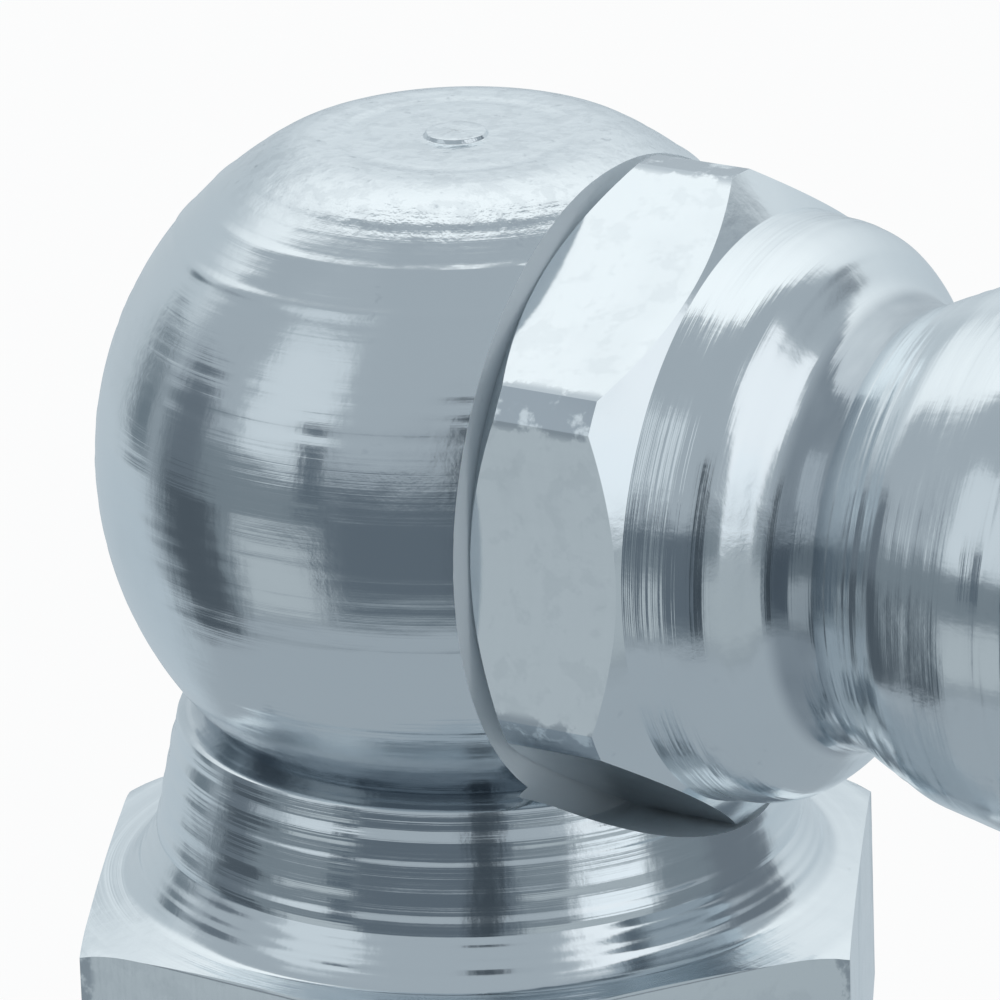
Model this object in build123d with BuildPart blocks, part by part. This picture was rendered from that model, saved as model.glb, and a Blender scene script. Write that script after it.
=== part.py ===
from build123d import *
from math import cos, pi, radians, sqrt, tan
import os

os.makedirs("parts", exist_ok=True)

# Right-angle grease nipple, in mm. Z runs up the threaded shank, X runs out along the nipple.
# The origin lies on the shank axis in the seat plane, the underside of the base hexagon.

# Base hexagon and shank
base_af = 9.0                  # across the flats of the bar that the body is turned from
base_turn = -4.0               # turn of the hexagon corners away from the nipple axis, in degrees
base_reach = base_af / 2 / cos(pi / 6)
base_blank = base_reach + 0.15     # turned blank, a little beyond the corners before the flats are cut
shoulder_z = 3.00              # height of the nearly flat shoulder on top of the hexagon
shoulder_radius = base_af / 2 + 0.30   # where the shoulder starts to round off towards the corners
shoulder_round = 0.70
shoulder_edge_z = 2.72         # height of the rounded corners
seat_radius = 4.35             # washer face under the hexagon
seat_bevel = 30.0              # bevel around the washer face, in degrees
thread_radius = 4.0            # over the crests of the M8x1 thread, left plain here
thread_length = 5.5
thread_bevel = 0.6

# Ball and neck of the body
ball_radius = 4.35
ball_height = 8.2              # nipple axis above the seat plane
cap_rise = 0.888 * ball_radius     # the top of the ball is faced off a little
cap_round = 1.2
pip_radius = 0.38
pip_height = 0.12              # nub that the parting tool leaves
pip_draft = 0.1
ledge_drop = 0.69 * ball_radius    # where the ball runs into the neck, below the ball centre
neck_top_radius = 3.52
neck_top_z = ball_height - ledge_drop - 0.10
neck_height = neck_top_z - shoulder_z
flare_radius = shoulder_radius - 0.62  # foot of the flare that spreads the neck onto the hexagon
flare_z = shoulder_z + 0.05 * neck_height
flare_round = 0.12 * neck_height
neck_low_radius = neck_top_radius + 0.53 * (flare_radius - neck_top_radius)
neck_low_z = shoulder_z + 0.27 * neck_height

# Passages in the body
passage_radius = 1.5
passage_rise = 1.2             # above the nipple axis
spot_face_x = 2.10             # flat on the ball that the collar seats on
side_bore_radius = 2.6
side_bore_end_x = -1.0
spigot_radius = side_bore_radius   # the insert is a press fit: both share one diameter
drill_point = 59.0             # half angle of the drilled end, in degrees

# Nipple insert, along X from the shank axis
collar_af = 7.0
collar_turn = 2.0              # turn of the collar flats about the nipple axis, in degrees
collar_round = 3.93            # the corners are turned to this radius, just inside the sharp corner
spot_face_radius = collar_round + 0.05     # the cutter clears the corners and bites into the neck
collar_bevel = 0.78            # axial run of the collar bevels for each mm of radius
collar_flat_back_x = spot_face_x + 0.04
collar_flat_front_x = 4.08
boss_radius = collar_af / 2 - 0.05
boss_end_x = 4.98
boss_end_radius = boss_radius - 0.12   # the boss tapers a little towards the waist
throat_radius = 2.59           # waist that the jaws of the grease gun drop into
throat_start_x = boss_end_x + 0.54
throat_end_x = 6.04
throat_round = 0.5
head_flank_radius = 3.045      # the steep flank behind the head ends here
head_flank_x = 7.05
head_flank_round = 1.1
head_radius = 3.25             # coupling head that the grease gun grips
head_back_x = 8.05
head_front_x = 8.80
tip_radius = 1.70
tip_x = 11.10
tip_bevel = 0.25
tail_x = 0.25
tail_bevel = 0.3
cutter_margin = 0.5            # how far the flat cutters reach past the corners

# Valve in the insert
bore_radius = 1.50
tail_lip_radius = 0.90
tail_lip = 0.45
inlet_radius = 0.80
inlet_length = 0.40
check_radius = 1.25
seat_clear = 0.03              # the resting ball stays this clear of its seat
seat_end_x = tip_x - inlet_length      # where the 45 degree seat meets the inlet
check_x = seat_end_x + inlet_radius - check_radius * sqrt(2) - seat_clear
wire_radius = 0.14
spring_radius = 0.95
spring_clear = 0.02
spring_front_x = check_x - sqrt((check_radius + wire_radius + spring_clear) ** 2 - spring_radius ** 2)
spring_back_x = tail_x + tail_lip + wire_radius + spring_clear
spring_turns = 6
spring_sides = 6               # the round wire has this many facets here

# Elbow body: one revolved blank, then the flats, the spot face and the drillings
with BuildPart() as elbow_body:
    with BuildSketch(Plane.XZ):
        with BuildLine():
            cap_flat = sqrt((ball_radius - cap_round) ** 2 - (cap_rise - cap_round) ** 2)
            cap_scale = ball_radius / (ball_radius - cap_round)
            cap_edge = (cap_flat * cap_scale, ball_height + (cap_rise - cap_round) * cap_scale)
            ball_foot = sqrt(ball_radius ** 2 - ledge_drop ** 2)
            cap_z = ball_height + cap_rise
            Polyline(
                (0, -thread_length),
                (thread_radius - thread_bevel, -thread_length),
                (thread_radius, thread_bevel - thread_length),
                (thread_radius, 0),
                (seat_radius, 0),
                (base_blank, (base_blank - seat_radius) * tan(radians(seat_bevel))),
                (base_blank, shoulder_edge_z),
            )
            RadiusArc((base_blank, shoulder_edge_z), (shoulder_radius, shoulder_z), -shoulder_round)
            FilletPolyline(
                (shoulder_radius, shoulder_z),
                (flare_radius, flare_z),
                (neck_low_radius, neck_low_z),
                radius=flare_round,
            )
            Polyline(
                (neck_low_radius, neck_low_z),
                (neck_top_radius, neck_top_z),
                (ball_foot, ball_height - ledge_drop),
            )
            ThreePointArc(
                (ball_foot, ball_height - ledge_drop),
                (ball_radius, ball_height),
                cap_edge,
            )
            RadiusArc(cap_edge, (cap_flat, cap_z), -cap_round)
            Polyline(
                (cap_flat, cap_z),
                (pip_radius, cap_z),
                (pip_radius - pip_draft, cap_z + pip_height),
                (0, cap_z + pip_height),
                (0, -thread_length),
            )
        make_face()
    revolve(axis=Axis.Z)
    with BuildSketch(Plane.XY):
        Circle(base_blank + cutter_margin)
        RegularPolygon(base_af / 2, 6, major_radius=False, rotation=base_turn, mode=Mode.SUBTRACT)
    extrude(amount=flare_z, mode=Mode.SUBTRACT)
    with BuildSketch(Plane.YZ.offset(spot_face_x)):
        with Locations((0, ball_height)):
            Circle(spot_face_radius)
    extrude(amount=ball_radius, mode=Mode.SUBTRACT)
    with BuildSketch(Plane.YZ.offset(side_bore_end_x)):
        with Locations((0, ball_height)):
            Circle(side_bore_radius)
    extrude(amount=spot_face_x - side_bore_end_x, mode=Mode.SUBTRACT)
    with BuildSketch(Plane.XZ):
        with BuildLine():
            passage_top = ball_height + passage_rise
            Polyline(
                (0, -thread_length),
                (passage_radius, -thread_length),
                (passage_radius, passage_top),
                (0, passage_top + passage_radius / tan(radians(drill_point))),
                close=True,
            )
        make_face()
    revolve(axis=Axis.Z, mode=Mode.SUBTRACT)
elbow_body.part.label = "elbow_body"

# Nipple insert: revolved about its own axis, then the six collar flats are cut behind the boss
nipple_axis = Axis((0, 0, ball_height), (1, 0, 0))
with BuildPart() as nipple_insert:
    with BuildSketch(Plane.XZ):
        with BuildLine():
            flat_radius = collar_af / 2
            bevel_run = (collar_round - flat_radius) * collar_bevel
            Polyline(
                (tail_x, ball_height + tail_lip_radius),
                (tail_x, ball_height + spigot_radius - tail_bevel),
                (tail_x + tail_bevel, ball_height + spigot_radius),
                (spot_face_x, ball_height + spigot_radius),
                (spot_face_x, ball_height + flat_radius - 0.05),
                (collar_flat_back_x + bevel_run, ball_height + collar_round),
                (collar_flat_front_x - bevel_run, ball_height + collar_round),
                (collar_flat_front_x, ball_height + boss_radius),
                (boss_end_x, ball_height + boss_end_radius),
            )
            FilletPolyline(
                (boss_end_x, ball_height + boss_end_radius),
                (throat_start_x, ball_height + throat_radius),
                (throat_end_x, ball_height + throat_radius),
                (head_flank_x, ball_height + head_flank_radius),
                (head_back_x, ball_height + head_radius),
                radius=[throat_round, throat_round, head_flank_round],
            )
            Polyline(
                (head_back_x, ball_height + head_radius),
                (head_front_x, ball_height + head_radius),
                (tip_x - tip_bevel, ball_height + tip_radius + tip_bevel),
                (tip_x, ball_height + tip_radius),
                (tip_x, ball_height + inlet_radius),
                (seat_end_x, ball_height + inlet_radius),
                (seat_end_x - (bore_radius - inlet_radius), ball_height + bore_radius),
                (tail_x + tail_lip, ball_height + bore_radius),
                (tail_x + tail_lip, ball_height + tail_lip_radius),
                (tail_x, ball_height + tail_lip_radius),
            )
        make_face()
    revolve(axis=nipple_axis)
    with BuildSketch(Plane.YZ.offset(spot_face_x)):
        with Locations((0, ball_height)):
            Circle(collar_round + cutter_margin)
            RegularPolygon(flat_radius, 6, major_radius=False, rotation=30 - collar_turn, mode=Mode.SUBTRACT)
    extrude(amount=collar_flat_front_x - spot_face_x, mode=Mode.SUBTRACT)
nipple_insert.part.label = "nipple_insert"

# Check ball, resting just behind its seat in the tip
with BuildPart() as check_ball:
    with Locations((check_x, 0, ball_height)):
        Sphere(check_radius)
check_ball.part.label = "check_ball"

# Valve spring: a round wire wound from the rolled-in tail to the back of the check ball
spring_length = spring_front_x - spring_back_x
with BuildPart() as valve_spring:
    with BuildLine():
        coil = Helix(
            pitch=spring_length / spring_turns,
            height=spring_length,
            radius=spring_radius,
            center=(spring_back_x, 0, ball_height),
            direction=(1, 0, 0),
        )
    with BuildSketch(Plane(coil @ 0, z_dir=coil % 0)):
        RegularPolygon(wire_radius, spring_sides)
    sweep(is_frenet=True)
valve_spring.part.label = "valve_spring"

export_step(elbow_body.part, "parts/elbow_body.step")
export_step(nipple_insert.part, "parts/nipple_insert.step")
export_step(check_ball.part, "parts/check_ball.step")
export_step(valve_spring.part, "parts/valve_spring.step")

print("sharp corner reach of the base hexagon", round(base_reach, 3))
print("check ball centre x", round(check_x, 3))
print("spring from", round(spring_back_x, 3), "to", round(spring_front_x, 3))
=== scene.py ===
from math import atan2, cos, pi, radians, sin, tan

import bmesh
import bpy
import numpy as np
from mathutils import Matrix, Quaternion, Vector


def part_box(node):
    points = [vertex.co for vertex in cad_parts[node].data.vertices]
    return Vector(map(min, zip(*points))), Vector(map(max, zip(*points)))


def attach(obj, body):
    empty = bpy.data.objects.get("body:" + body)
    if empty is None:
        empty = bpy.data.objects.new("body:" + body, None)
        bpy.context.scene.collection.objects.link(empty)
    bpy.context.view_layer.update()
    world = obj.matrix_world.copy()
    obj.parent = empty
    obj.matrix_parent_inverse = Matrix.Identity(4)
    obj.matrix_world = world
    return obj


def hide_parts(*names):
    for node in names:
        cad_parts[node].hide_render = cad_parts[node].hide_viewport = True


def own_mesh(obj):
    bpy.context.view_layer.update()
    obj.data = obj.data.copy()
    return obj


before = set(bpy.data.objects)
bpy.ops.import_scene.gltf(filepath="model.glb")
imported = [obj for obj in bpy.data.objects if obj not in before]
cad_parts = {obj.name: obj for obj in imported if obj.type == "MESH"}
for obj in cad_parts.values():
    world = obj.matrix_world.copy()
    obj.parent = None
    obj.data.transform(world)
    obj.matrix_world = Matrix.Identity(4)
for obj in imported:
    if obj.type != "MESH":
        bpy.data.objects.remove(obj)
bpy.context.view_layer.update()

mm = 0.001


# Elbow body: one piece of steel, turned and bored from hexagon bar. The hexagon takes the wrench, the
# threaded shank screws into the bearing, and the ball above the neck carries the side nipple.
# The whole body is zinc plated after machining.
body_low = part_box("elbow_body")[0]
ball_radius = 4.35 * mm
ball_height = 8.2 * mm
ball_centre = np.array([0.0, 0.0, ball_height])
base_half = 4.5 * mm                       # half the width across the flats
base_turn = radians(-4.0)
base_reach = base_half / cos(pi / 6)
seat_radius = 4.35 * mm
seat_bevel = radians(30.0)
shoulder_z = 3.0 * mm
shoulder_radius = base_half + 0.3 * mm
shoulder_round = 0.7 * mm
shoulder_edge = (base_reach + 0.15 * mm, 2.72 * mm)
flare_radius = shoulder_radius - 0.62 * mm
neck_top_radius = 3.52 * mm
ledge_z = ball_height - 0.69 * ball_radius
neck_top_z = ledge_z - 0.1 * mm
neck_height = neck_top_z - shoulder_z
cap_z = ball_height + 0.898 * ball_radius
cap_round = 1.2 * mm
pip_radius = 0.38 * mm
pip_height = 0.05 * mm
passage_radius = 1.5 * mm
passage_top = ball_height + 1.2 * mm
drill_point = radians(59.0)
spot_face_x = 2.10 * mm
spot_face_radius = 3.98 * mm
side_bore_radius = 2.6 * mm
side_bore_end = -1.0 * mm
thread_radius = 4.0 * mm
thread_pitch = 1.0 * mm
thread_bevel = 0.6 * mm
shank_end = body_low.z


def sampled(corners, rounds, step):
    """A path through corner points, as rows of (along, radius). Each corner becomes an arc that touches its
    two sides at its radius times the tangent of half the turn. No two rows lie further apart than step."""
    corners = np.array(corners, float)
    pieces = []
    start = corners[0]
    for before, corner, after, radius in zip(corners[:-2], corners[1:-1], corners[2:], rounds):
        along_in = (corner - before) / np.linalg.norm(corner - before)
        along_out = (after - corner) / np.linalg.norm(after - corner)
        turn = atan2(along_in[0] * along_out[1] - along_in[1] * along_out[0], along_in @ along_out)
        reach = radius * tan(abs(turn) / 2)
        touch = corner - along_in * reach
        pieces.append(straight(start, touch, step))
        if radius > 0:
            side = np.array([-along_in[1], along_in[0]]) * np.sign(turn)
            count = max(int(np.ceil(radius * abs(turn) / step)), 3)
            angle = np.linspace(0, abs(turn), count + 1)[:-1, None]
            pieces.append(touch + radius * (side * (1 - np.cos(angle)) + along_in * np.sin(angle)))
        start = corner + along_out * reach
    pieces.append(straight(start, corners[-1], step))
    pieces.append(corners[-1:])
    return np.concatenate(pieces)


def straight(start, end, step):
    """Rows at equal distances from start up to, and without, end."""
    count = max(int(np.ceil(np.linalg.norm(end - start) / step)), 1)
    share = np.linspace(0, 1, count + 1)[:-1, None]
    return start + (end - start) * share


def arc(centre, radius, first, last, step):
    """Rows on a circle, from angle first to angle last: centre plus radius times (sine, cosine)."""
    count = max(int(np.ceil(radius * abs(last - first) / step)), 2)
    angle = np.linspace(first, last, count + 1)[:, None]
    return np.array(centre) + radius * np.concatenate([np.sin(angle), np.cos(angle)], 1)


def tool_marks(path, seed, count, height, width):
    """The path moved out along its normal by a sum of bell-shaped ridges and grooves at seeded random places,
    as the turning tool leaves them: a depth times exp(-(distance / width) squared) each."""
    random = np.random.default_rng(seed)
    step = np.linalg.norm(np.diff(path, axis=0), axis=1)
    length = np.concatenate([[0], np.cumsum(step)])
    tangent = np.gradient(path, axis=0)
    tangent /= np.linalg.norm(tangent, axis=1)[:, None]
    normal = np.stack([-tangent[:, 1], tangent[:, 0]], 1)
    place = random.uniform(0, length[-1], count)
    depth = random.normal(0, 1, count) * height
    spread = random.uniform(0.5, 1.5, count) * width
    lift = (depth * np.exp(-((length[:, None] - place) / spread) ** 2)).sum(1)
    fade = np.clip(np.minimum(length, length[-1] - length) / (2 * width), 0, 1)
    return path + normal * (lift * fade)[:, None]


def columns(turn, per_flat, band):
    """Angles round a hexagon bar, with a column on each corner and on both edges of its turned band."""
    inner = np.linspace(-pi / 6 + band, pi / 6 - band, per_flat)
    if band > 0:
        inner = np.concatenate([[-pi / 6], inner])
    else:
        inner = inner[:-1]
    angles = np.concatenate([inner + turn + pi / 6 + k * pi / 3 for k in range(6)])
    return np.append(angles, angles[0] + 2 * pi)


def flat_limit(angles, half, turn):
    """Distance from the axis to a hexagon's flats: half its width over the cosine of the angle off
    the middle of the flat."""
    off = (angles - turn) % (pi / 3) - pi / 6
    return half / np.cos(off)


def solid_from(name, along, radius, angles, axis):
    """A closed mesh from a grid of rows and columns: along is the place on the axis, radius the distance
    from it. Axis "z" stands on the seat plane, and axis "x" lies along the nipple at the ball's height."""
    rows, count = along.shape
    if axis == "z":
        points = np.stack([radius * np.cos(angles), radius * np.sin(angles), along], -1)
    else:
        points = np.stack([along, -radius * np.cos(angles), ball_height + radius * np.sin(angles)], -1)
    index = np.arange(rows * count).reshape(rows, count)
    quads = np.stack([index[:-1, :-1], index[:-1, 1:], index[1:, 1:], index[1:, :-1]], -1).reshape(-1, 4)
    mesh = bpy.data.meshes.new(name)
    mesh.from_pydata(points.reshape(-1, 3), [], quads)
    work = bmesh.new()
    work.from_mesh(mesh)
    bmesh.ops.remove_doubles(work, verts=work.verts, dist=2e-7)
    bmesh.ops.recalc_face_normals(work, faces=work.faces)
    work.to_mesh(mesh)
    work.free()
    piece = bpy.data.objects.new(name, mesh)
    bpy.context.scene.collection.objects.link(piece)
    return piece


def smooth(piece, angle):
    """Faces shade smoothly, with a crisp edge wherever two of them meet at more than the angle."""
    work = bmesh.new()
    work.from_mesh(piece.data)
    for face in work.faces:
        face.smooth = True
    for edge in work.edges:
        edge.smooth = len(edge.link_faces) == 2 and edge.calc_face_angle(0) < angle
    work.to_mesh(piece.data)
    work.free()


def spread(path, count):
    """A path of rows (along, radius) repeated for each column."""
    return np.repeat(path[:, :1], count, 1), np.repeat(path[:, 1:], count, 1)


# The rows run from the point of the drilled passage down its wall, round the shank and the hexagon, and up
# over the neck and the ball to the pip that the parting tool left.
angles = columns(base_turn, 34, 0)
limit = flat_limit(angles, base_half, base_turn)
passage = np.array([
    (passage_top + passage_radius / tan(drill_point), 0),
    (passage_top, passage_radius),
    (shank_end + 0.15 * mm, passage_radius),
    (shank_end, passage_radius + 0.15 * mm),
])
# One turn of the thread has these rows, as shares of the pitch, closer together at the crest and the root.
turn_rows = np.array([0, 0.06, 0.125, 0.2, 0.3, 0.4, 0.46, 0.5, 0.5625, 0.625, 0.665, 0.725, 0.825, 0.925])
crest_share = 0.125
flank_share = 0.3542
root_share = 0.5625
flank_straight = 0.9                       # of the depth, before the round of the root begins
thread_depth = 0.6134 * thread_pitch
runout_length = 1.3 * thread_pitch
turns = np.arange(-1, int(np.ceil(-shank_end / thread_pitch)) + 1)
lead = (turns[:, None] + turn_rows).ravel()
thread_z = shank_end + (lead[:, None] + (angles - angles[0]) / (2 * pi) - 0.5) * thread_pitch
thread_z = np.clip(thread_z, shank_end, 0)
phase = ((thread_z - shank_end) / thread_pitch + 0.5 - (angles - angles[0]) / (2 * pi)) % 1
flank_run = flank_share * flank_straight
root = np.interp(
    phase,
    [0, crest_share, crest_share + flank_run, root_share, 1 - flank_run, 1],
    [0, 0, flank_straight, 1, flank_straight, 0],
)
runout = np.clip(-thread_z / runout_length, 0, 1)
runout = runout * runout * (3 - 2 * runout)
thread_r = thread_radius - thread_depth * root * runout
thread_r = np.minimum(thread_r, thread_radius - thread_bevel + (thread_z - shank_end))

seat = np.array([(0, thread_radius + 0.02 * mm), (0, seat_radius)])
under = np.linspace(0, 1, 5)[:, None]
under_r = seat_radius + (limit - seat_radius) * under
under_z = (under_r - seat_radius) * tan(seat_bevel)
side_share = np.linspace(0, 1, 7)[1:-1, None]

shoulder_chord = np.array([shoulder_edge[0] - shoulder_radius, shoulder_edge[1] - shoulder_z])
chord_length = np.linalg.norm(shoulder_chord)
chord_mid = np.array([shoulder_radius, shoulder_z]) + shoulder_chord / 2
across = np.array([shoulder_chord[1], -shoulder_chord[0]]) / chord_length
round_centre = chord_mid + across * np.sqrt(shoulder_round ** 2 - (chord_length / 2) ** 2)
flare_z = shoulder_z + 0.05 * neck_height
flare_start = flare_radius + 0.12 * mm
flare_slope = (flare_z - shoulder_z) / (shoulder_radius - flare_radius)


def shoulder_height(radius):
    """Height of the hexagon's top: nearly flat, then an arc that falls to the corners."""
    dome = round_centre[1] + np.sqrt(np.maximum(shoulder_round ** 2 - (radius - round_centre[0]) ** 2, 0))
    return np.where(radius > shoulder_radius, dome, shoulder_z + (shoulder_radius - radius) * flare_slope)


top_share = np.linspace(0, 1, 15)[:, None]
top_r = limit + (flare_start - limit) * top_share
top_z = shoulder_height(top_r)
side_z = under_z[-1:] + (top_z[:1] - under_z[-1:]) * side_share

neck_low = (shoulder_z + 0.27 * neck_height, neck_top_radius + 0.53 * (flare_radius - neck_top_radius))
ledge_radius = np.sqrt(ball_radius ** 2 - (ledge_z - ball_height) ** 2)
neck = sampled(
    [
        (float(shoulder_height(flare_start)), flare_start),
        (flare_z, flare_radius),
        neck_low,
        (neck_top_z, neck_top_radius),
        (ledge_z, ledge_radius),
    ],
    [0.12 * neck_height, 0.5 * neck_height, 0.08 * mm],
    0.035 * mm,
)
neck = tool_marks(neck, seed=3, count=60, height=0.005 * mm, width=0.055 * mm)
cap_flat = np.sqrt((ball_radius - cap_round) ** 2 - (cap_z - ball_height - cap_round) ** 2)
cap_angle = atan2(cap_z - ball_height - cap_round, cap_flat)
ledge_angle = atan2(ledge_z - ball_height, ledge_radius)
ball = arc((ball_height, 0), ball_radius, ledge_angle, cap_angle, 0.045 * mm)
ball = tool_marks(ball, seed=5, count=46, height=0.0022 * mm, width=0.07 * mm)
ring_lines = np.radians([21.5, 27.0, 40.5, 48.0, 55.0])    # lines the tool left, as heights on the ball
ring_lift = np.array([-0.006, -0.006, 0.017, 0.013, -0.006]) * mm
ring_width = 0.06 * mm
around = np.arctan2(ball[:, 0] - ball_height, ball[:, 1])
lift = (np.exp(-((around[:, None] - ring_lines) * ball_radius / ring_width) ** 2) * ring_lift).sum(1)
ball = ball + np.stack([np.sin(around), np.cos(around)], 1) * lift[:, None]
dome = arc((cap_z - cap_round, cap_flat), cap_round, cap_angle, pi / 2, 0.06 * mm)
cap = sampled(
    [
        (cap_z, cap_flat),
        (cap_z, pip_radius),
        (cap_z + pip_height, pip_radius - 0.03 * mm),
        (cap_z + pip_height, 0),
    ],
    [0.015 * mm, 0.02 * mm],
    0.08 * mm,
)
crown = np.concatenate([dome[:-1], cap])
crown = tool_marks(crown, seed=8, count=16, height=0.004 * mm, width=0.07 * mm)

rows_z = []
rows_r = []
for path_z, path_r in [
    spread(passage, len(angles)),
    (thread_z, thread_r),
    spread(seat, len(angles)),
    (under_z, under_r),
    (side_z, np.repeat(limit[None], len(side_share), 0)),
    (top_z, top_r),
    spread(neck[1:], len(angles)),
    spread(ball[1:], len(angles)),
    spread(crown[1:], len(angles)),
]:
    rows_z.append(path_z)
    rows_r.append(path_r)
elbow = solid_from("elbow", np.concatenate(rows_z), np.concatenate(rows_r), angles, "z")

# The cutter for the flat that the collar seats on and for the bore that takes the nipple's spigot
round_angles = np.linspace(0, 2 * pi, 241)
clear_end = 8.0 * mm
cutter_path = np.array([
    (side_bore_end, 0),
    (side_bore_end, side_bore_radius),
    (spot_face_x, side_bore_radius),
    (spot_face_x, spot_face_radius),
    (clear_end, spot_face_radius),
    (clear_end, 0),
])
cutter = solid_from("spot_face_cutter", *spread(cutter_path, len(round_angles)), round_angles, "x")


def zinc_plating(name, axis, satin, turned_from, coarse, faced, worn_from, recess, recess_shade):
    """Bright zinc on a turned bar, with places along the axis and radii in metres. The tool's rings and
    the streaks between them lie beyond turned_from and on what slopes before it, and grow deep over the
    ramp coarse. The other faces are drawn flats, with a long faint grain. Over the ramp faced the end is
    torn a little, with pits and dull spots. Corners beyond the radius worn_from are scuffed, and painted
    shade darkens the colour in the recess, given by the four ends of its two ramps, as deep as the last
    argument sets it. A ramp may run backwards. The pattern is worked out in millimetres from the ball's
    centre, and heights in thousandths of a millimetre."""
    material = bpy.data.materials.new(name)
    material.use_nodes = True
    nodes = material.node_tree.nodes
    links = material.node_tree.links
    shader = nodes["Principled BSDF"]
    shader.inputs["Metallic"].default_value = 1.0
    centred = nodes.new("ShaderNodeMapping")
    centred.inputs["Location"].default_value = tuple(-ball_centre / mm)
    centred.inputs["Scale"].default_value = (1 / mm, 1 / mm, 1 / mm)
    texture = nodes.new("ShaderNodeTexCoord")
    links.new(texture.outputs["Object"], centred.inputs["Vector"])
    place = centred.outputs["Vector"]
    split = nodes.new("ShaderNodeSeparateXYZ")
    links.new(place, split.inputs["Vector"])
    along, across, around = [split.outputs[letter] for letter in {"z": "ZXY", "x": "XYZ"}[axis]]
    start = ball_height if axis == "z" else 0.0

    def maths(operation, *values):
        """The output of one step of arithmetic on numbers and sockets."""
        node = nodes.new("ShaderNodeMath")
        node.operation = operation
        for socket, value in zip(node.inputs, values):
            if isinstance(value, (int, float)):
                socket.default_value = value
            else:
                links.new(value, socket)
        return node.outputs["Value"]

    def step(value, low, high):
        """A soft step: 0 at low, 1 at high, and the smooth cubic between them."""
        node = nodes.new("ShaderNodeMapRange")
        node.interpolation_type = "SMOOTHSTEP"
        links.new(value, node.inputs["Value"])
        node.inputs["From Min"].default_value = low
        node.inputs["From Max"].default_value = high
        return node.outputs["Result"]

    def vector(x, y, z):
        """Three values as one vector."""
        node = nodes.new("ShaderNodeCombineXYZ")
        for socket, value in zip(node.inputs, (x, y, z)):
            links.new(value, socket)
        return node.outputs["Vector"]

    def noise(source, scale, detail, roughness=0.5):
        """Noise along one value, or through space where the source is a vector."""
        node = nodes.new("ShaderNodeTexNoise")
        flat = source.type != "VECTOR"
        node.noise_dimensions = "1D" if flat else "3D"
        links.new(source, node.inputs["W" if flat else "Vector"])
        node.inputs["Scale"].default_value = scale
        node.inputs["Detail"].default_value = detail
        node.inputs["Roughness"].default_value = roughness
        return node.outputs["Fac"]

    off_axis = maths("SQRT", maths("ADD", maths("POWER", across, 2), maths("POWER", around, 2)))
    if axis == "z":
        ring = maths("MULTIPLY", maths("ARCTAN2", along, off_axis), ball_radius / mm)
    else:
        ring = maths("ADD", along, maths("MULTIPLY", off_axis, 0.8))
    facing = nodes.new("ShaderNodeSeparateXYZ")
    links.new(texture.outputs["Normal"], facing.inputs["Vector"])
    sloping = step(maths("ABSOLUTE", facing.outputs[axis.upper()]), 0.05, 0.12)
    beyond = step(along, (turned_from - start) / mm, (turned_from - start) / mm + 0.02)
    turned = maths("MAXIMUM", sloping, beyond)
    deep = step(along, (coarse[0] - start) / mm, (coarse[1] - start) / mm)
    torn = step(along, (faced[0] - start) / mm, (faced[1] - start) / mm)
    edge = step(off_axis, worn_from / mm - 0.04, worn_from / mm + 0.02)
    rise, brim, fall, foot = [(place_along - start) / mm for place_along in recess]
    # The band of the recess, where the colour is darkened as painted shade
    shaded_recess = maths("MULTIPLY", step(along, rise, brim), step(along, foot, fall))
    wrap_x = maths("MULTIPLY", maths("DIVIDE", across, off_axis), 3.0)
    wrap_y = maths("MULTIPLY", maths("DIVIDE", around, off_axis), 3.0)
    rings = noise(ring, scale=9.0, detail=4.0, roughness=0.6)
    streaks = noise(vector(wrap_x, wrap_y, maths("MULTIPLY", ring, 3.0)), scale=1.0, detail=2.0)
    grain = noise(vector(maths("MULTIPLY", along, 0.15), across, around), scale=3.0, detail=3.0)
    mottle = noise(place, scale=4.0, detail=4.0, roughness=0.65)
    patches = step(noise(place, scale=0.5, detail=3.0), 0.5, 0.66)
    pits = step(noise(place, scale=6.0, detail=3.0), 0.64, 0.78)
    scuff_noise = noise(place, scale=2.6, detail=4.0, roughness=0.6)
    scuffs = step(maths("ADD", scuff_noise, maths("MULTIPLY", edge, 0.13)), 0.50, 0.62)
    dull = maths("MULTIPLY", torn, step(mottle, 0.47, 0.60))

    # Relief: the rings and streaks where the face is turned, a fine mottle, and the grain everywhere
    ring_height = maths("MULTIPLY", rings, maths("ADD", 2.5, maths("MULTIPLY", deep, 10.0)))
    streak_height = maths("MULTIPLY", streaks, maths("ADD", 9.0, maths("MULTIPLY", deep, 12.0)))
    tooled = maths("MULTIPLY", turned, maths("ADD", ring_height, streak_height))
    rough_part = maths("MAXIMUM", torn, maths("MULTIPLY", maths("MULTIPLY", patches, turned), 0.4))
    mottle_height = maths("MULTIPLY", mottle, maths("ADD", 1.5, maths("MULTIPLY", rough_part, 12.0)))
    height = maths("ADD", maths("ADD", tooled, mottle_height), maths("MULTIPLY", grain, 4.0))
    bump = nodes.new("ShaderNodeBump")
    bump.inputs["Strength"].default_value = 1.0
    bump.inputs["Distance"].default_value = 0.001 * mm
    links.new(height, bump.inputs["Height"])
    links.new(bump.outputs["Normal"], shader.inputs["Normal"])
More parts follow.
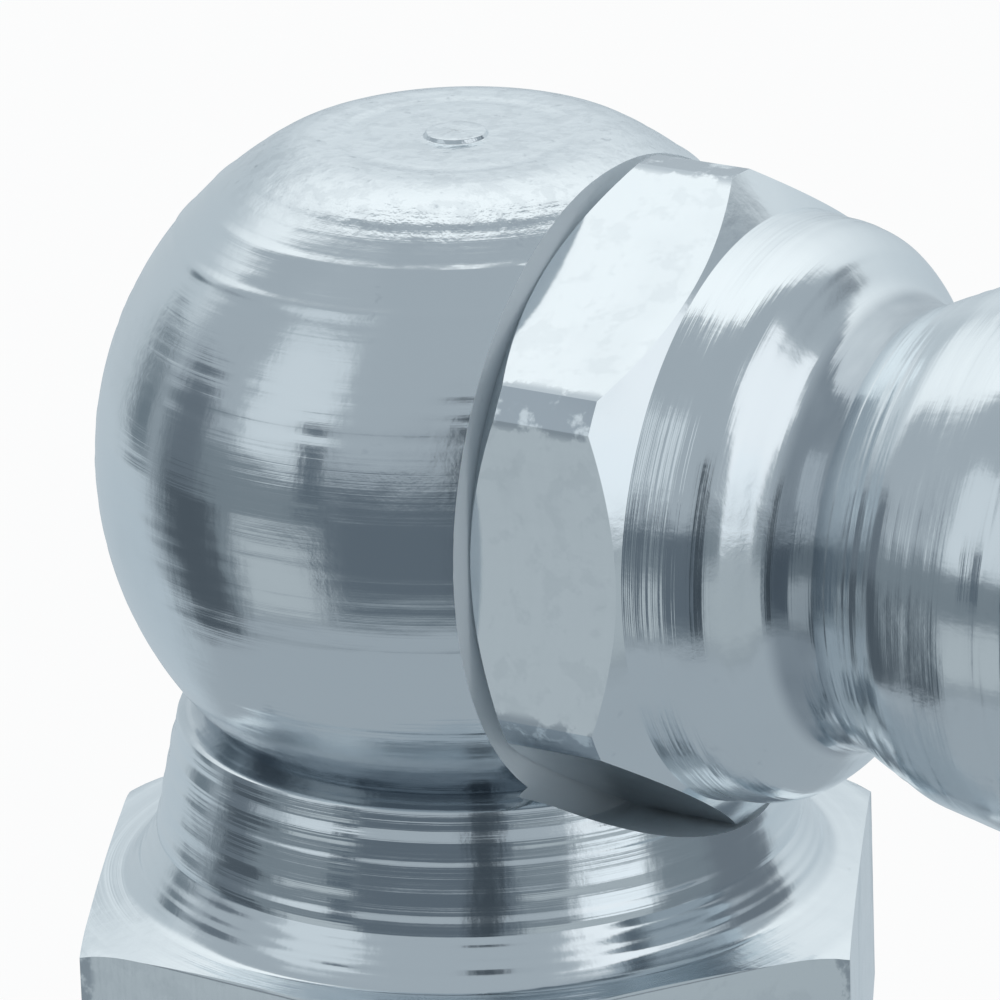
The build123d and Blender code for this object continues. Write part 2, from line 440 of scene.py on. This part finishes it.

    # Gloss and colour: patches and rings are a little duller, pits and scuffs stain the zinc, and painted
    # shade darkens it in the recess
    rough = maths("ADD", maths("MULTIPLY", patches, 0.10), maths("MULTIPLY", rings, 0.06))
    links.new(maths("ADD", rough, satin), shader.inputs["Roughness"])
    pitted = maths("MULTIPLY", pits, maths("ADD", 0.02, maths("MULTIPLY", rough_part, 0.35)))
    pitted = maths("ADD", pitted, maths("MULTIPLY", dull, 0.14))
    plain = maths("SUBTRACT", 1.0, turned)
    scuff_share = maths("ADD", 0.08, maths("MULTIPLY", edge, 0.55))
    scuffed = maths("MULTIPLY", maths("MULTIPLY", plain, scuffs), scuff_share)
    # Painted shade: the colour darkens in the recess, where shadow falls, with the streaks running through it
    painted_shade = maths("MULTIPLY", shaded_recess, maths("ADD", recess_shade - 0.2, maths("MULTIPLY", streaks, 0.4)))
    stain_and_shade = maths("MINIMUM", maths("ADD", maths("ADD", pitted, scuffed), painted_shade), 1.0)
    colour = nodes.new("ShaderNodeMix")
    colour.data_type = "RGBA"
    links.new(stain_and_shade, colour.inputs["Factor"])
    clean_zinc = (0.80, 0.85, 0.88, 1)
    # The one dark colour serves both the real stains and the painted shade in the recess
    stain_and_shade_zinc = (0.27, 0.32, 0.37, 1)
    colour.inputs[6].default_value = clean_zinc        # inputs 6 and 7 are the mix's two colours
    colour.inputs[7].default_value = stain_and_shade_zinc
    links.new(colour.outputs[2], shader.inputs["Base Color"])
    return material


body_plating = zinc_plating(
    "body_plating",
    "z",
    satin=0.11,
    turned_from=shoulder_z,
    coarse=(ledge_z, ledge_z - 0.2 * mm),
    faced=(cap_z - 0.6 * mm, cap_z - 0.2 * mm),
    worn_from=base_reach - 0.08 * mm,
    # The recess ramps mark a band of painted shade on the ball's underside, just above the neck
    recess=(ledge_z - 0.15 * mm, ledge_z, ledge_z + 0.2 * mm, ledge_z + 0.9 * mm),
    recess_shade=0.5,
)
# The end mill leaves a duller face, with no torn end, worn corner or painted shade in a recess: those ramps
# lie clear of it.
milled_plating = zinc_plating(
    "milled_plating",
    "x",
    satin=0.7,
    turned_from=spot_face_x - 0.1 * mm,
    coarse=(spot_face_x + 0.1 * mm, spot_face_x + 0.2 * mm),
    faced=(clear_end, clear_end + mm),
    worn_from=clear_end,
    recess=(clear_end, clear_end + mm, clear_end + mm, clear_end + 2 * mm),
    recess_shade=0.2,
)
milled_plating.node_tree.nodes["Principled BSDF"].inputs["Metallic"].default_value = 0.35
elbow.data.materials.append(body_plating)
cutter.data.materials.append(milled_plating)
cut = elbow.modifiers.new("spot_face", "BOOLEAN")
cut.operation = "DIFFERENCE"
cut.solver = "EXACT"
cut.material_mode = "TRANSFER"
cut.object = cutter
finished = bpy.data.meshes.new_from_object(elbow.evaluated_get(bpy.context.evaluated_depsgraph_get()))
elbow.modifiers.clear()
elbow.data = finished
elbow.data.name = "elbow"
bpy.data.objects.remove(cutter)
smooth(elbow, radians(24))
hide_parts("elbow_body")
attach(elbow, "fitting")


# Check valve: a wire spring wound from the rolled-in tail of the nipple presses a hardened ball into the
# 45 degree seat behind the inlet, so that grease goes in and doesn't come out.
spring_low, spring_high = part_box("valve_spring")
valve_low, valve_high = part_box("check_ball")
check_radius = (valve_high.z - valve_low.z) / 2
check_x = (valve_high.x + valve_low.x) / 2
wire_radius = 0.14 * mm
coil_radius = 0.95 * mm
coil_turns = 6
wire_sides = 12


def steel(name, tint, rough, scale):
    """Bare bright steel with a faint drawn or lapped grain in its roughness and bump."""
    material = bpy.data.materials.new(name)
    material.use_nodes = True
    nodes = material.node_tree.nodes
    links = material.node_tree.links
    shader = nodes["Principled BSDF"]
    shader.inputs["Metallic"].default_value = 1.0
    shader.inputs["Base Color"].default_value = (*tint, 1)
    place = nodes.new("ShaderNodeTexCoord").outputs["Object"]
    grain = nodes.new("ShaderNodeTexNoise")
    grain.inputs["Scale"].default_value = scale
    grain.inputs["Detail"].default_value = 3.0
    links.new(place, grain.inputs["Vector"])
    spread_rough = nodes.new("ShaderNodeMapRange")
    spread_rough.inputs["To Min"].default_value = rough * 0.7
    spread_rough.inputs["To Max"].default_value = rough * 1.4
    links.new(grain.outputs["Fac"], spread_rough.inputs["Value"])
    links.new(spread_rough.outputs["Result"], shader.inputs["Roughness"])
    bump = nodes.new("ShaderNodeBump")
    bump.inputs["Strength"].default_value = 0.15
    bump.inputs["Distance"].default_value = 0.005 * mm
    links.new(grain.outputs["Fac"], bump.inputs["Height"])
    links.new(bump.outputs["Normal"], shader.inputs["Normal"])
    return material


ball_angles = np.linspace(0, 2 * pi, 65)
ball_path = arc((check_x, 0), check_radius, -pi / 2, pi / 2, 0.12 * mm)
check = solid_from("check_valve_ball", *spread(ball_path, len(ball_angles)), ball_angles, "x")
smooth(check, radians(40))
check.data.materials.append(steel("bearing_steel", (0.78, 0.79, 0.80), 0.08, 2500.0))
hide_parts("check_ball")
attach(check, "valve")


def wound_wire(start_x, end_x, turns, samples):
    """A round wire on a helix round the nipple's axis: the place along the axis eases in and out of each end,
    so that the first and last turns close up, and each section is a circle in the plane across the wire."""
    angle = np.linspace(0, turns * 2 * pi, turns * samples + 1)
    share = angle / angle[-1]
    pitch_share = np.clip(np.minimum(share, 1 - share) * turns / 1.2, 0.45, 1)
    climb = np.concatenate([[0], np.cumsum((pitch_share[1:] + pitch_share[:-1]) / 2)])
    along = start_x + (end_x - start_x) * climb / climb[-1]
    centre = np.stack([along, -coil_radius * np.cos(angle), ball_height + coil_radius * np.sin(angle)], 1)
    out = np.stack([0 * angle, -np.cos(angle), np.sin(angle)], 1)
    tangent = np.gradient(centre, axis=0)
    tangent /= np.linalg.norm(tangent, axis=1)[:, None]
    over = np.cross(tangent, out)
    ring = np.linspace(0, 2 * pi, wire_sides + 1)[:, None, None]
    points = centre + wire_radius * (np.cos(ring) * out + np.sin(ring) * over)
    ends = np.repeat(centre[[0, -1]][None], wire_sides + 1, 0)
    return np.concatenate([ends[:, :1], points, ends[:, 1:]], 1)


wire = wound_wire(spring_low.x + wire_radius, spring_high.x - wire_radius, coil_turns, 40)
index = np.arange(wire.shape[0] * wire.shape[1]).reshape(wire.shape[:2])
quads = np.stack([index[:-1, :-1], index[:-1, 1:], index[1:, 1:], index[1:, :-1]], -1).reshape(-1, 4)
spring_mesh = bpy.data.meshes.new("spring")
spring_mesh.from_pydata(wire.reshape(-1, 3), [], quads)
work = bmesh.new()
work.from_mesh(spring_mesh)
bmesh.ops.remove_doubles(work, verts=work.verts, dist=2e-7)
bmesh.ops.recalc_face_normals(work, faces=work.faces)
work.to_mesh(spring_mesh)
work.free()
spring = bpy.data.objects.new("spring", spring_mesh)
bpy.context.scene.collection.objects.link(spring)
smooth(spring, radians(50))
spring.data.materials.append(steel("spring_steel", (0.55, 0.55, 0.56), 0.25, 3000.0))
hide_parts("valve_spring")
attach(spring, "fitting")
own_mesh(spring)


# Nipple insert: a second turned piece, pressed into the side of the ball. Its hexagon collar seats on the
# spot face, a waist holds the jaws of the grease gun, and the coned head takes the coupler's seal.
# It carries the same bright zinc.
nipple_low, nipple_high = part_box("nipple_insert")
tip_x = nipple_high.x
tail_x = nipple_low.x
tip_radius = 1.70 * mm
tip_bevel = 0.25 * mm
inlet_radius = 0.80 * mm
seat_end_x = tip_x - 0.40 * mm
bore_radius = 1.50 * mm
lip_radius = 0.90 * mm
lip_end_x = tail_x + 0.45 * mm
tail_bevel = 0.3 * mm
collar_half = 3.5 * mm
collar_corner = pi / 6 + radians(2.0)      # its lowest corner on the front, from level
collar_round = 3.93 * mm
collar_back_x = spot_face_x + 0.04 * mm
collar_front_x = 4.08 * mm
collar_slope = 0.78
boss_radius = collar_half - 0.05 * mm
boss_end_x = 4.98 * mm
boss_end_radius = boss_radius - 0.12 * mm
throat_radius = 2.59 * mm
throat_start_x = boss_end_x + 0.54 * mm
throat_end_x = 6.04 * mm
head_flank_radius = 3.045 * mm
head_flank_x = 7.05 * mm
head_radius = 3.25 * mm
head_back_x = 8.05 * mm
head_front_x = 8.80 * mm

corner_band = pi / 6 - np.arccos(collar_half / collar_round)
angles = columns(collar_corner, 34, corner_band)
limit = np.minimum(flat_limit(angles, collar_half, collar_corner), collar_round)
inside = np.array([
    (lip_end_x, lip_radius),
    (lip_end_x, bore_radius),
    (seat_end_x - (bore_radius - inlet_radius), bore_radius),
    (seat_end_x, inlet_radius),
    (tip_x - 0.08 * mm, inlet_radius),
    (tip_x, inlet_radius + 0.08 * mm),
])
front = sampled(
    [
        (tip_x, inlet_radius + 0.08 * mm),
        (tip_x, tip_radius),
        (tip_x - tip_bevel, tip_radius + tip_bevel),
        (head_front_x, head_radius),
        (head_back_x, head_radius),
        (head_flank_x, head_flank_radius),
        (throat_end_x, throat_radius),
        (throat_start_x, throat_radius),
        (boss_end_x, boss_end_radius),
        (collar_front_x, boss_radius),
    ],
    [0.06 * mm, 0.12 * mm, 0.15 * mm, 1.5 * mm, 1.1 * mm, 0.5 * mm, 0.65 * mm, 0.85 * mm],
    0.04 * mm,
)
front = tool_marks(front, seed=12, count=64, height=0.0032 * mm, width=0.07 * mm)
bevel_share = np.linspace(0, 1, 8)[:, None]
front_r = boss_radius + (limit - boss_radius) * bevel_share[1:]
front_x = collar_front_x - (front_r - boss_radius) * collar_slope
back_r = limit + (collar_half - 0.05 * mm - limit) * bevel_share
back_x = collar_back_x + (back_r - collar_half) * collar_slope
land_share = np.linspace(0, 1, 8)[1:-1, None]
land_x = front_x[-1:] + (back_x[:1] - front_x[-1:]) * land_share
spigot = np.array([
    (spot_face_x, collar_half - 0.05 * mm),
    (spot_face_x, side_bore_radius),
    (tail_x + tail_bevel, side_bore_radius),
    (tail_x, side_bore_radius - tail_bevel),
    (tail_x, lip_radius),
    (lip_end_x, lip_radius),
])
rows_x = []
rows_r = []
for path_x, path_r in [
    spread(inside, len(angles)),
    spread(front[1:], len(angles)),
    (front_x, front_r),
    (land_x, np.repeat(limit[None], len(land_share), 0)),
    (back_x, back_r),
    spread(spigot, len(angles)),
]:
    rows_x.append(path_x)
    rows_r.append(path_r)
nipple = solid_from("nipple", np.concatenate(rows_x), np.concatenate(rows_r), angles, "x")
smooth(nipple, radians(24))
insert_plating = zinc_plating(
    "insert_plating",
    "x",
    satin=0.11,
    turned_from=collar_front_x,
    coarse=(throat_end_x + mm, collar_front_x - 0.2 * mm),
    faced=(tip_x - 0.10 * mm, tip_x - 0.05 * mm),
    worn_from=collar_round - 0.03 * mm,
    # The recess ramps mark painted shade in the throat between the boss and the head
    recess=(throat_start_x - 0.1 * mm, throat_start_x + 0.1 * mm, throat_end_x, throat_end_x + 0.3 * mm),
    recess_shade=0.6,
)
nipple.data.materials.append(insert_plating)
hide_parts("nipple_insert")
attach(nipple, "fitting")


# Studio: a pale floor under the shank's end, and a soft surround that only the plating mirrors. It is pale
# behind and above the part and grey on the camera's side, with two windows, dark screens and a stand there.
# The floor is left out of the mirrored rays, so that the surround's own table stands in for it.
camera_azimuth = radians(31.60)
camera_height = radians(20.03)


def surround(name):
    """The world. Its colour is a function of azimuth, from where the picture is taken, and of height above
    the horizon: soft-edged fields are laid over one another, each the product of four smooth steps. Camera
    and transmission rays see plain white."""
    world = bpy.data.worlds.new(name)
    world.use_nodes = True
    nodes = world.node_tree.nodes
    links = world.node_tree.links
    background = nodes["Background"]
    direction = nodes.new("ShaderNodeTexCoord").outputs["Generated"]
    turned = nodes.new("ShaderNodeMapping")
    turned.vector_type = "POINT"
    turned.inputs["Rotation"].default_value = (0, 0, -camera_azimuth)
    links.new(direction, turned.inputs["Vector"])
    split = nodes.new("ShaderNodeSeparateXYZ")
    links.new(turned.outputs["Vector"], split.inputs["Vector"])

    def maths(operation, *values):
        """The output of one step of arithmetic on numbers and sockets."""
        node = nodes.new("ShaderNodeMath")
        node.operation = operation
        for socket, value in zip(node.inputs, values):
            if isinstance(value, (int, float)):
                socket.default_value = value
            else:
                links.new(value, socket)
        return node.outputs["Value"]

    towards_front = maths("MULTIPLY", split.outputs["Y"], -1)
    azimuth = maths("DEGREES", maths("ARCTAN2", split.outputs["X"], towards_front))
    height = maths("DEGREES", maths("ARCSINE", split.outputs["Z"]))

    def step(value, low, high):
        """A soft step: 0 at low, 1 at high, and the smooth cubic between them."""
        node = nodes.new("ShaderNodeMapRange")
        node.interpolation_type = "SMOOTHSTEP"
        links.new(value, node.inputs["Value"])
        node.inputs["From Min"].default_value = low
        node.inputs["From Max"].default_value = high
        return node.outputs["Result"]

    def field(left, right, bottom, top, soft):
        """1 inside a rectangle of azimuth and height in degrees, and 0 outside it."""
        from_left = step(azimuth, left - soft, left + soft)
        from_right = step(azimuth, right + soft, right - soft)
        from_below = step(height, bottom - soft, bottom + soft)
        from_above = step(height, top + soft, top - soft)
        across = maths("MULTIPLY", from_left, from_right)
        return maths("MULTIPLY", across, maths("MULTIPLY", from_below, from_above))

    def over(base, fac, colour):
        """The colour laid over the base where fac is 1."""
        node = nodes.new("ShaderNodeMix")
        node.data_type = "RGBA"
        links.new(fac, node.inputs["Factor"])
        if isinstance(base, tuple):
            node.inputs[6].default_value = (*base, 1)
        else:
            links.new(base, node.inputs[6])
        if isinstance(colour, tuple):
            node.inputs[7].default_value = (*colour, 1)
        else:
            links.new(colour, node.inputs[7])
        return node.outputs[2]

    beside = maths("ABSOLUTE", azimuth)
    behind = step(beside, 110, 123)
    wall = over((0.50, 0.57, 0.62), step(height, -25, 70), (1.06, 1.10, 1.11))
    colour = over((0.40, 0.45, 0.49), behind, wall)
    # Each field: its left and right azimuth, its bottom and top height, the softness of its edge, its colour
    for left, right, bottom, top, soft, shade in [
        (-170, -118, -12, 28, 7, (0.54, 0.60, 0.64)),      # shaded wall, far on the left
        (-112, 112, -36, 8, 5, (0.20, 0.24, 0.27)),        # dark table on the camera's side
        (-78, -46, 7, 46, 3, (0.66, 0.72, 0.76)),          # left window
        (34, 62, -6, 18, 4, (0.92, 0.98, 1.02)),           # foot of the right window
        (34, 80, 14, 52, 4, (0.96, 1.00, 1.03)),           # right window
        (12, 64, -34, -9, 4, (0.42, 0.47, 0.50)),          # its light on the table
        (-77, -48, -33, -11, 3, (0.46, 0.51, 0.54)),       # the left window's light on the table
        (-46, 12, -29, 8, 3, (0.12, 0.15, 0.18)),          # dark front of the table
        (-55, -46, -2, 19, 2, (0.10, 0.13, 0.16)),         # frame of the left window
        (-106, -90, -8, 18, 3, (0.14, 0.17, 0.20)),        # screen on the left
        (-106, -84, -38, -6, 3, (0.08, 0.10, 0.12)),       # its foot
        (-130, -115, -10, 14, 4, (0.16, 0.20, 0.23)),      # second screen, further back
        (-4, 7, -32, 30, 2, (0.05, 0.065, 0.08)),          # stand in front
        (86, 120, -30, 24, 5, (0.16, 0.19, 0.22)),         # screen on the right
    ]:
        colour = over(colour, field(left, right, bottom, top, soft), shade)
    colour = over(colour, step(height, -35, -44), (0.37, 0.42, 0.46))
    ray = nodes.new("ShaderNodeLightPath")
    seen = maths("MAXIMUM", ray.outputs["Is Camera Ray"], ray.outputs["Is Transmission Ray"])
    colour = over(colour, seen, (1, 1, 1))
    links.new(colour, background.inputs["Color"])
    background.inputs["Strength"].default_value = 1.0
    return world


bpy.context.scene.world = surround("studio")

floor_half = 0.6
floor_mesh = bpy.data.meshes.new("floor")
floor_x = floor_half * np.array([-1, 1, 1, -1])
floor_y = floor_half * np.array([-1, -1, 1, 1])
floor_mesh.from_pydata(np.stack([floor_x, floor_y, np.full(4, shank_end - 0.01 * mm)], 1), [], [(0, 1, 2, 3)])
floor = bpy.data.objects.new("floor", floor_mesh)
bpy.context.scene.collection.objects.link(floor)


def white_paper(name):
    """Matt white paper. Camera and transmission rays see most of it at an even white, and the rest keeps the
    part's shadow."""
    material = bpy.data.materials.new(name)
    material.use_nodes = True
    nodes = material.node_tree.nodes
    links = material.node_tree.links
    shader = nodes["Principled BSDF"]
    shader.inputs["Base Color"].default_value = (0.85, 0.85, 0.85, 1)
    shader.inputs["Roughness"].default_value = 0.9
    even = nodes.new("ShaderNodeEmission")
    even.inputs["Color"].default_value = (1, 1, 1, 1)
    ray = nodes.new("ShaderNodeLightPath")
    share = nodes.new("ShaderNodeMath")
    share.operation = "MULTIPLY"
    even_share = 0.92
    share.inputs[1].default_value = even_share
    seen = nodes.new("ShaderNodeMath")
    seen.operation = "MAXIMUM"
    links.new(ray.outputs["Is Camera Ray"], seen.inputs[0])
    links.new(ray.outputs["Is Transmission Ray"], seen.inputs[1])
    links.new(seen.outputs["Value"], share.inputs[0])
    mix = nodes.new("ShaderNodeMixShader")
    links.new(share.outputs["Value"], mix.inputs["Fac"])
    links.new(shader.outputs["BSDF"], mix.inputs[1])
    links.new(even.outputs["Emission"], mix.inputs[2])
    links.new(mix.outputs["Shader"], nodes["Material Output"].inputs["Surface"])
    return material


floor.data.materials.append(white_paper("white_paper"))
floor.visible_glossy = False

lamp_data = bpy.data.lights.new("overhead_softbox", "AREA")
lamp_data.shape = "DISK"
lamp_data.size = 0.12
lamp_data.energy = 0.06
lamp = bpy.data.objects.new("overhead_softbox", lamp_data)
lamp.visible_glossy = False                # the surround already has its pale panel
bpy.context.scene.collection.objects.link(lamp)
lamp.location = Vector((-0.10, 0.03, 0.20))
lamp.rotation_mode = "QUATERNION"
lamp.rotation_quaternion = (Vector(ball_centre) - lamp.location).to_track_quat("-Z", "Y")

# Camera: a long lens close to level, turned a little so that the part leans left as it does in the picture
camera_distance = 116.8 * mm
focal_pixels = 9989
picture_pixels = 1000
ball_pixel = (467.2, 451.8)
camera_roll = radians(2.02)
camera_data = bpy.data.cameras.new("camera")
camera_data.sensor_width = 36.0
camera_data.lens = focal_pixels / picture_pixels * camera_data.sensor_width
camera_data.clip_start = 5 * mm
camera_data.clip_end = 10.0
camera = bpy.data.objects.new("camera", camera_data)
bpy.context.scene.collection.objects.link(camera)
level_reach = cos(camera_height)
towards = Vector((sin(camera_azimuth) * level_reach, -cos(camera_azimuth) * level_reach, sin(camera_height)))
camera.location = Vector(ball_centre) + towards * camera_distance
level = (-towards).to_track_quat("-Z", "Y") @ Quaternion((0, 0, 1), -camera_roll)
pixel_angle_x = atan2(ball_pixel[0] - picture_pixels / 2, focal_pixels)
pixel_angle_y = atan2(picture_pixels / 2 - ball_pixel[1], focal_pixels)
camera.rotation_mode = "QUATERNION"
sideways = Quaternion((0, 1, 0), pixel_angle_x)
upwards = Quaternion((1, 0, 0), -pixel_angle_y)
camera.rotation_quaternion = level @ sideways @ upwards
bpy.context.scene.camera = camera
bpy.context.scene.view_settings.view_transform = "Standard"
